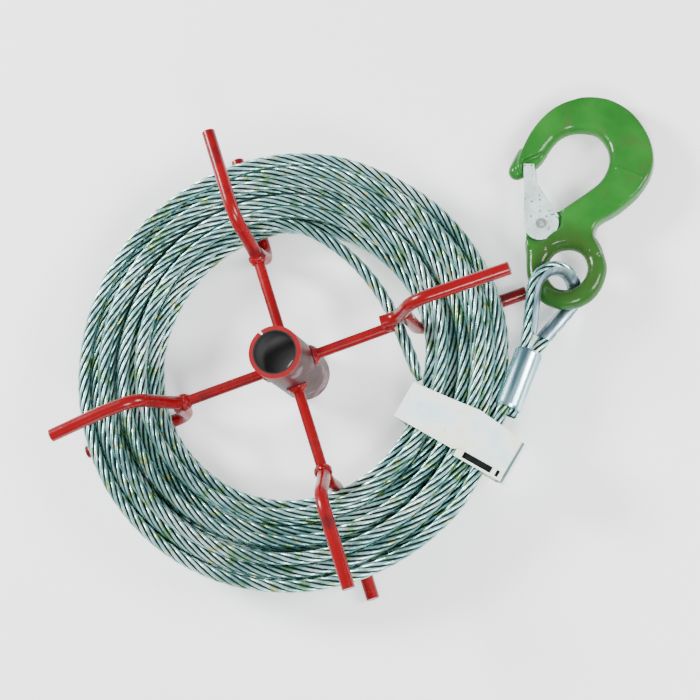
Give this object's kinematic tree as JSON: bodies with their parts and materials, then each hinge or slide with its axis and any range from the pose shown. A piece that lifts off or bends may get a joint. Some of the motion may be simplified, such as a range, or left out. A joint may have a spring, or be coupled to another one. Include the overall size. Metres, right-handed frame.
{
  "type": "wire rope with safety hook on a reel",
  "caption": "Steel wire rope for a hand rope puller, coiled on a red rod reel with forked arms; ferruled eye, thimble and green safety hook with spring latch.",
  "frame": {"origin": "middle of the hub's lower mouth, on the plane that the reel rests on", "axes": "+Z along the hub's axis, up; +X along arm 1, beside the hook"},
  "size_m": [0.5889, 0.438, 0.107],
  "materials": {
    "red_paint": "glossy red paint over bent round bar",
    "painted_weld": "weld beads under red paint",
    "black_liner": "matt black sleeve",
    "steel_rope": "galvanised stranded steel, lightly greased",
    "pressed_aluminium": "pressed smooth, satin",
    "galvanised_thimble": "bright zinc plated sheet",
    "white_band": "off-white smooth sheet",
    "green_paint": "glossy green paint over forged steel",
    "zinc_latch": "pale zinc plated pressed sheet",
    "steel_fittings": "plain bright steel"
  },
  "bodies": {
    "reel_and_rope": {"band_clip": "steel_fittings", "ferrule": "pressed_aluminium", "fork_welds": "painted_weld", "front_prong_1": "red_paint", "front_prong_2": "red_paint", "front_prong_3": "red_paint", "front_prong_4": "red_paint", "hub_liner": "black_liner", "hub_tube": "red_paint", "hub_welds": "painted_weld", "rear_prong_1": "red_paint", "rear_prong_2": "red_paint", "rear_prong_3": "red_paint", "rear_prong_4": "red_paint", "retaining_band": "white_band", "rope_coil": "steel_rope", "rope_dead_end": "steel_rope", "rope_eye": "steel_rope", "rope_lead": "steel_rope", "rope_splice": "steel_rope", "rope_tail": "steel_rope", "rope_tip": "steel_rope", "spoke_1": "red_paint", "spoke_2": "red_paint", "spoke_3": "red_paint", "spoke_4": "red_paint", "thimble": "galvanised_thimble"},
    "hook": {"hook_body": "green_paint", "latch_pin": "steel_fittings", "latch_spring": "steel_fittings"},
    "latch_gate": {"latch": "zinc_latch"}
  },
  "joints": [
    {"name": "hook_swing", "type": "hinge", "parent": "reel_and_rope", "child": "hook", "pos_m": [0.2614, 0.0006, 0.0295], "axis": [0.049, 0.0982, 0.994], "range_deg": [-80, 0]},
    {"name": "latch_hinge", "type": "hinge", "parent": "hook", "child": "latch_gate", "pos_m": [0.25293, 0.04748, 0.02529], "axis": [0.049, 0.0982, 0.994], "range_deg": [-38, 0], "stiffness_Nm_per_rad": 0.3, "springref_deg": 9.74}
  ]
}
